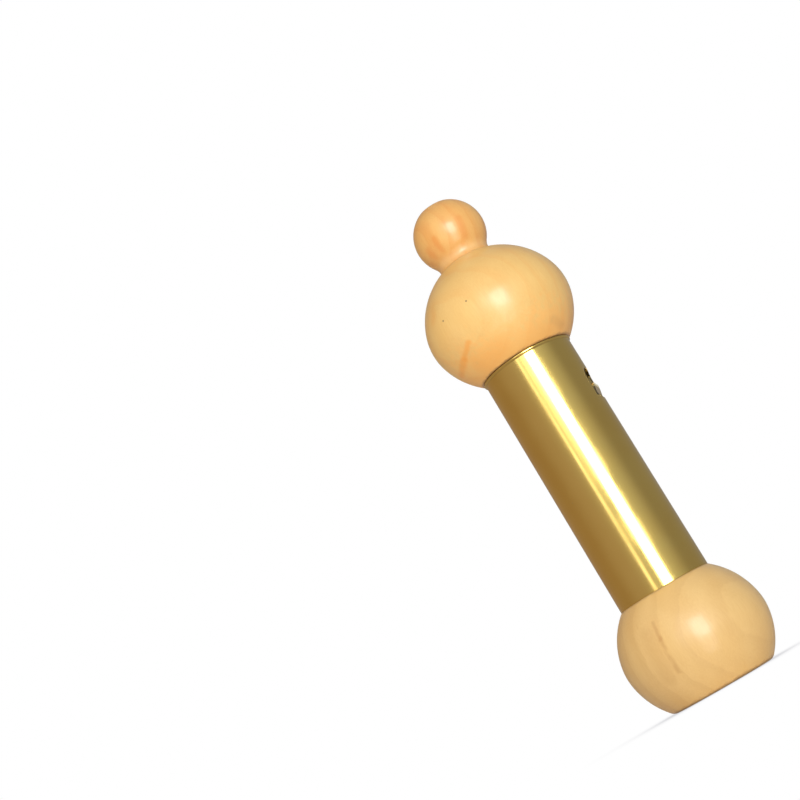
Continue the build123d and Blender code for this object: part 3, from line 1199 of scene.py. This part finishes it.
    @staticmethod
    def trim(sheet: Piece, place: Vector, way: Vector) -> None:
        """Cut away the part of a sheet that lies past a plane.

        Args:
            sheet: The sheet to cut.
            place: A point on the plane.
            way: The plane's normal, towards what is cut away.
        """
        start_edit(sheet)
        bpy.ops.mesh.bisect(plane_co=place, plane_no=way, clear_outer=True)
        end_edit()

    def cut_window(self, piece: Piece, top: float, bottom: float) -> None:
        """Cut the window through the wall with a block whose upper corners are rounded.

        Args:
            piece: The tube, with its wall.
            top: Height of the window's upper edge.
            bottom: Height of its lower edge.
        """
        middle = (top + bottom) / 2
        size = (self.cutter_depth, self.window_width, top - bottom)
        cutter = add_block(size, (self.radius, 0.0, middle))

        def upper_corner(edge: bpy.types.MeshEdge) -> bool:
            """Say whether an edge of the block runs through the wall at an upper corner."""
            first, second = (cutter.data.vertices[index].co for index in edge.vertices)
            return min(first.z, second.z) > middle and abs(first.x - second.x) > self.wall

        start_edit(cutter, Pick.EDGES, upper_corner)
        bpy.ops.mesh.bevel(offset=self.window_corner, segments=12, affect="EDGES")
        end_edit()
        combine(piece, cutter, "DIFFERENCE")

    def ease_rims(self, piece: Piece, ends: tuple[float, float]) -> None:
        """Round the edges of the tube's two ends.

        Args:
            piece: The tube.
            ends: Heights of its two ends.
        """

        def rim(edge: bpy.types.MeshEdge) -> bool:
            """Say whether an edge runs round one of the ends."""
            first, second = (piece.data.vertices[index].co for index in edge.vertices)
            off = min(max(abs(first.z - end), abs(second.z - end)) for end in ends)
            return off < SAME_LEVEL and (first - second).length < self.wall / 2

        start_edit(piece, Pick.EDGES, rim)
        bpy.ops.mesh.bevel(offset=self.rim_rounding, segments=3, affect="EDGES")
        end_edit()

    def bush(self) -> Piece:
        """Turn the wooden ring that guides the rod."""
        low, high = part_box("guide_bush")
        bore, edge = self.bush_bore, self.bush_edge
        outline = Outline().line((bore + edge, low.z)).side(high.x, low.z, high.z, edge)
        outline.line(
            (bore + edge, high.z), (bore, high.z - edge), (bore, low.z + edge), (bore + edge, low.z)
        )
        piece = turn("turned_bush", outline)
        return dress(piece, INNER_WOOD, Body.BARREL, Slot.INNER, "guide_bush")

    def block(self) -> Piece:
        """Give the frame's own fipple block bare wood."""
        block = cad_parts["fipple_block"]
        block.data.materials.clear()
        block.data.materials.append(finish_material(INNER_WOOD))
        log.info("%s: kept from the frame", block.name)
        return block

    def build(self) -> list[Piece]:
        """Make the three pieces."""
        return [self.tube(), self.bush(), self.block()]


@dataclass
class Plunger:
    """The handle ball, rod, piston, washer and screw. Sizes are in metres."""

    handle_flattening: float = 1.0 * MM
    equator: float = 9.5 * MM
    foot_rounding: float = 1.6 * MM
    shoulder_radius: float = 9.0 * MM
    socket_radius: float = 3.05 * MM
    socket_depth: float = 13.2 * MM
    rod_edge: float = 0.4 * MM
    rod_steps: int = 96
    pilot_radius: float = 1.3 * MM
    pilot_depth: float = 8.2 * MM
    piston_edge: float = 0.4 * MM
    piston_body: float = 5.0 * MM
    spigot_radius: float = 4.5 * MM
    rod_depth: float = 3.0 * MM
    screw_radius: float = 1.25 * MM
    screw_point: float = 2.5 * MM
    screw_head: float = 1.4 * MM
    screw_steps: int = 64
    screw_edge: float = 0.04 * MM
    slot_width: float = 0.7 * MM
    slot_depth: float = 0.6 * MM
    cutter_length: float = 8.0 * MM
    cutter_height: float = 2.0 * MM
    thread_pitch: float = 1.0 * MM
    thread_depth: float = 0.32 * MM
    thread_stand: float = 0.2
    thread_steps: int = 32

    def handle(self) -> Piece:
        """Turn the handle ball with its flat foot, rounded edge and rod socket."""
        low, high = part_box("handle_ball")
        radius = high.x
        half_height = radius - self.handle_flattening / 2
        cap = cap_radius(radius, half_height)
        cap_centre = low.z + self.equator + cap - half_height
        rounding = self.foot_rounding
        edge_radius = math.sqrt((cap - rounding) ** 2 - (cap_centre - low.z - rounding) ** 2)
        edge_angle = math.degrees(math.atan2(low.z + rounding - cap_centre, edge_radius))
        foot = cap * math.cos(math.radians(edge_angle))
        floor = high.z - self.socket_depth
        outline = Outline().line((0.0, low.z))
        outline.arc((edge_radius, low.z + rounding), rounding, -90.0, edge_angle, 10)
        ball_side(outline, low.z + self.equator, radius, half_height, foot, self.shoulder_radius)
        outline.line(
            (self.shoulder_radius, high.z),
            (self.socket_radius, high.z),
            (self.socket_radius, floor),
            (0.0, floor),
        )
        piece = turn("turned_handle", outline, BALL_STEPS)
        return dress(piece, HANDLE_WOOD, Body.PLUNGER, Slot.HANDLE, "handle_ball")

    def rod(self) -> Piece:
        """Turn the rod, with a pilot hole for the screw in its upper end."""
        low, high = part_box("plunger_rod")
        floor = high.z - self.pilot_depth
        outline = Outline().line((0.0, low.z)).side(high.x, low.z, high.z, self.rod_edge)
        outline.line((self.pilot_radius, high.z), (self.pilot_radius, floor), (0.0, floor))
        piece = turn("turned_rod", outline, self.rod_steps)
        return dress(piece, INNER_WOOD, Body.PLUNGER, Slot.INNER, "plunger_rod")

    def piston(self) -> Piece:
        """Turn the piston with its spigot, rod socket and screw hole."""
        low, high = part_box("piston")
        shoulder = low.z + self.piston_body
        floor = low.z + self.rod_depth
        outline = Outline().line((self.socket_radius, low.z))
        outline.side(high.x, low.z, shoulder, self.piston_edge)
        outline.line(
            (self.spigot_radius, shoulder),
            (self.spigot_radius, high.z),
            (self.pilot_radius, high.z),
            (self.pilot_radius, floor),
            (self.socket_radius, floor),
            (self.socket_radius, low.z),
        )
        piece = turn("turned_piston", outline)
        return dress(piece, INNER_WOOD, Body.PLUNGER, Slot.INNER, "piston")

    def washer(self) -> Piece:
        """Turn the washer."""
        low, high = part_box("piston_washer")
        outline = Outline().line(
            (self.pilot_radius, low.z),
            (high.x, low.z),
            (high.x, high.z),
            (self.pilot_radius, high.z),
            (self.pilot_radius, low.z),
        )
        piece = turn("turned_washer", outline)
        return dress(piece, HARDWARE_BRASS, Body.PLUNGER, Slot.HARDWARE, "piston_washer")

    def screw(self) -> Piece:
        """Turn the screw's head and shank, cut its slot and wind its thread."""
        low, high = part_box("piston_screw")
        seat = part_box("piston_washer")[1].z
        rim = high.x
        dome = (rim**2 + self.screw_head**2) / (2 * self.screw_head)
        rim_angle = math.degrees(math.asin((dome - self.screw_head) / dome))
        core = self.screw_radius - self.thread_depth
        point = low.z + self.screw_point
        outline = Outline().line((0.0, low.z), (core, point), (core, seat), (rim, seat))
        outline.arc((0.0, seat + self.screw_head - dome), dome, rim_angle, 90.0, 10)
        piece = turn("brass_screw", outline, self.screw_steps, self.screw_edge)
        self.cut_slot(piece, seat + self.screw_head - self.slot_depth)
        self.wind_thread(piece, point, seat - 2 * self.thread_pitch)
        return dress(piece, HARDWARE_BRASS, Body.PLUNGER, Slot.HARDWARE, "piston_screw")

    def cut_slot(self, piece: Piece, floor: float) -> None:
        """Cut the driver's slot down to the given height."""
        size = (self.cutter_length, self.slot_width, self.cutter_height)
        cutter = add_block(size, (0.0, 0.0, floor + self.cutter_height / 2))
        combine(piece, cutter, "DIFFERENCE")

    def wind_thread(self, piece: Piece, bottom: float, top: float) -> None:
        """Wind a thread round the shank and join it to the screw.

        Args:
            piece: The screw.
            bottom: Height where the thread starts.
            top: Height where it ends.
        """
        core = self.screw_radius - self.thread_depth
        deselect()
        bpy.ops.mesh.primitive_circle_add(
            vertices=3,
            radius=self.thread_depth,
            fill_type="NOTHING",
            location=(core + self.thread_stand * self.thread_depth, 0.0, bottom),
            rotation=(math.pi / 2, 0.0, 0.0),
        )
        thread = bpy.context.object
        settle(thread)
        apply_modifier(
            thread,
            "SCREW",
            screw_offset=self.thread_pitch,
            iterations=int((top - bottom) / self.thread_pitch),
            steps=self.thread_steps,
            render_steps=self.thread_steps,
            use_normal_calculate=True,
        )
        start_edit(thread)
        bpy.ops.mesh.select_all(action="DESELECT")
        bpy.ops.mesh.select_mode(type="EDGE")
        bpy.ops.mesh.select_non_manifold()
        bpy.ops.mesh.fill_holes(sides=0)
        bpy.ops.mesh.select_all(action="SELECT")
        bpy.ops.mesh.normals_make_consistent(inside=False)
        end_edit()
        join(piece, thread)
        smooth(piece)

    def build(self) -> list[Piece]:
        """Make the five pieces."""
        return [self.handle(), self.rod(), self.piston(), self.washer(), self.screw()]


@dataclass
class Seal:
    """The leather ring on the piston's spigot. Sizes are in metres."""

    bore_radius: float = 4.55 * MM
    edge: float = 0.4 * MM

    def build(self) -> list[Piece]:
        """Turn the ring with rounded outer edges."""
        low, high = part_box("piston_seal")
        edge = self.edge
        outline = Outline().line((self.bore_radius, low.z))
        outline.arc((high.x - edge, low.z + edge), edge, -90.0, 0.0, 6)
        outline.arc((high.x - edge, high.z - edge), edge, 0.0, 90.0, 6)
        outline.line((self.bore_radius, high.z), (self.bore_radius, low.z))
        piece = turn("leather_seal", outline)
        return [dress(piece, SEAL_LEATHER, Body.SEAL, Slot.LEATHER, "piston_seal")]


@dataclass(frozen=True)
class Panel:
    """A soft light panel round the call, in metres, degrees and watts.

    It hangs turn degrees to the right of straight ahead and rise degrees above level. Polished
    brass shows it where it is mirrored, and it lights dull surfaces where it spreads.
    """

    name: str
    turn: float
    rise: float
    width: float
    power: float
    height: float = 0.3
    distance: float = 0.5
    aim: float = 53.5 * MM
    mirrored: bool = True
    spread: bool = True

    def hang(self) -> bpy.types.Object:
        """Add the light and point it at the call's axis."""
        data = bpy.data.lights.new(self.name, "AREA")
        data.shape = "RECTANGLE"
        data.size = self.width
        data.size_y = self.height
        data.energy = self.power
        light = bpy.data.objects.new(self.name, data)
        bpy.context.scene.collection.objects.link(light)
        light.visible_glossy = self.mirrored
        light.visible_diffuse = self.spread
        turned, rise = math.radians(self.turn), math.radians(self.rise)
        level = math.cos(rise)
        way = Vector((math.sin(turned) * level, -math.cos(turned) * level, math.sin(rise)))
        light.location = Vector((0.0, 0.0, self.aim)) + way * self.distance
        light.rotation_euler = (-way).to_track_quat("-Z", "Y").to_euler()
        return light


@dataclass
class Studio:
    """A pale floor, soft light and the camera. Lengths are in metres and angles in degrees."""

    eye_distance: float = 272.8 * MM
    eye_height: float = 5.33 * MM
    look_side: float = -24.43 * MM
    look_height: float = 75.73 * MM
    camera_turn: float = 7.0
    camera_roll: float = -30.04
    lens: float = 66.375
    nearest: float = 0.01
    floor_size: float = 6.0
    floor_glow: float = 0.12
    floor_sheen: float = 0.5
    sheen_roughness: float = 0.15
    shadow_reach: float = 0.02
    shadow_tint: Colour = (0.7, 0.7, 0.72)
    paper_tint: Colour = (0.8, 0.78, 0.75)
    glow_tint: Colour = (1.0, 0.9, 0.78)
    dim_tint: Colour = (0.42, 0.36, 0.3)
    sheen_tint: Colour = (0.9, 0.9, 0.9)
    room_light: float = 1.0
    back_left: Colour = (0.38, 0.28, 0.2)
    back_right: Colour = (0.31, 0.3, 0.3)
    front_left: Colour = (0.46, 0.38, 0.34)
    front_right: Colour = (0.62, 0.64, 0.66)
    panels: tuple[Panel, ...] = (
        Panel("key_panel", 22.0, 9.0, 0.2, 1.8),
        Panel("strip_panel", -10.0, 9.0, 0.06, 0.085),
        Panel("glow_panel", 3.0, 24.0, 0.12, 0.145),
        Panel("fill_panel", -50.0, 48.0, 0.5, 0.08),
        Panel("back_panel", 187.0, 9.0, 0.12, 0.2, spread=False),
        Panel("rear_panel", 187.0, 15.0, 0.3, 0.8, mirrored=False),
        Panel("bounce_panel", -62.0, -20.0, 0.06, 0.013, 0.06, 0.09, 100.0 * MM, False),
    )

    def floor(self) -> Piece:
        """Lay the floor, white to the eye with a soft shadow where the call stands."""
        deselect()
        bpy.ops.mesh.primitive_plane_add(size=self.floor_size)
        piece = bpy.context.object
        piece.name = "studio_floor"
        material = bpy.data.materials.new("studio_floor")
        material.use_nodes = True
        sheet = NodeSheet(material.node_tree)
        near = sheet.place("AmbientOcclusion", {"Distance": self.shadow_reach}).outputs["AO"]
        shade = sheet.mix(sheet.ramp(near, 0.25, 1.0), self.shadow_tint, WHITE)
        seen = sheet.shader("Emission", {"Color": shade})
        paper = sheet.shader("BsdfDiffuse", {"Color": rgba(self.paper_tint)})
        glow_inputs = {"Color": rgba(self.glow_tint), "Strength": self.floor_glow}
        bright = sheet.shader("AddShader", {0: paper, 1: sheet.shader("Emission", glow_inputs)})
        dim = sheet.shader("Emission", {"Color": rgba(self.dim_tint)})
        sheen_inputs = {"Color": rgba(self.sheen_tint), "Roughness": self.sheen_roughness}
        mirrored = sheet.blend(self.floor_sheen, dim, sheet.shader("BsdfGlossy", sheen_inputs))
        path = sheet.place("LightPath").outputs
        lit = sheet.blend(path["Is Glossy Ray"], bright, mirrored)
        both = sheet.blend(path["Is Camera Ray"], lit, seen)
        sheet.place("OutputMaterial", {"Surface": both})
        piece.data.materials.append(material)
        return piece

    def room(self) -> None:
        """Light the room evenly, a little warmer and dimmer on the left, and white to the eye."""
        world = bpy.data.worlds.new("studio")
        world.use_nodes = True
        bpy.context.scene.world = world
        sheet = NodeSheet(world.node_tree)
        looked = sheet.place("TexCoord").outputs["Generated"]
        way = sheet.place("SeparateXYZ", {"Vector": looked}).outputs
        right = sheet.ramp(way["X"], -0.7, 0.3)
        front = sheet.ramp(way["Y"], -0.8, 0.05, 1.0, 0.0)
        back_tint = sheet.mix(right, self.back_left, self.back_right)
        front_tint = sheet.mix(right, self.front_left, self.front_right)
        tint = sheet.mix(front, back_tint, front_tint)
        lit = sheet.shader("Background", {"Color": tint, "Strength": self.room_light})
        seen = sheet.shader("Background", {"Color": rgba(WHITE), "Strength": 1.0})
        both = sheet.blend(sheet.place("LightPath").outputs["Is Camera Ray"], lit, seen)
        sheet.place("OutputWorld", {"Surface": both})

    def camera(self) -> bpy.types.Object:
        """Set the camera at the photograph's viewing angle."""
        data = bpy.data.cameras.new("camera")
        data.lens = self.lens
        data.clip_start = self.nearest
        camera = bpy.data.objects.new("camera", data)
        bpy.context.scene.collection.objects.link(camera)
        turned = Matrix.Rotation(math.radians(self.camera_turn), 3, "Z")
        eye = turned @ Vector((0.0, -self.eye_distance, self.eye_height))
        look = turned @ Vector((self.look_side, 0.0, self.look_height))
        forward = (look - eye).normalized()
        level = forward.cross(Vector((0.0, 0.0, 1.0))).normalized()
        upright = level.cross(forward)
        roll = math.radians(self.camera_roll)
        right = level * math.cos(roll) + upright * math.sin(roll)
        up = upright * math.cos(roll) - level * math.sin(roll)
        axes = Matrix((right, up, -forward)).transposed()
        camera.matrix_world = Matrix.Translation(eye) @ axes.to_4x4()
        bpy.context.scene.camera = camera
        return camera

    def build(self) -> None:
        """Set up the whole studio."""
        self.floor()
        self.room()
        for panel in self.panels:
            panel.hang()
        self.camera()
        bpy.context.scene.view_settings.view_transform = "Standard"


def main() -> None:
    """Build every sub-assembly in order, then the studio round it."""
    logging.basicConfig(level=logging.INFO, format="%(name)s: %(message)s")
    for assembly in (Head(), Pipe(), Plunger(), Seal()):
        pieces = assembly.build()
        log.info("%s: %d pieces", type(assembly).__name__, len(pieces))
    Studio().build()


if __name__ == "__main__":
    main()
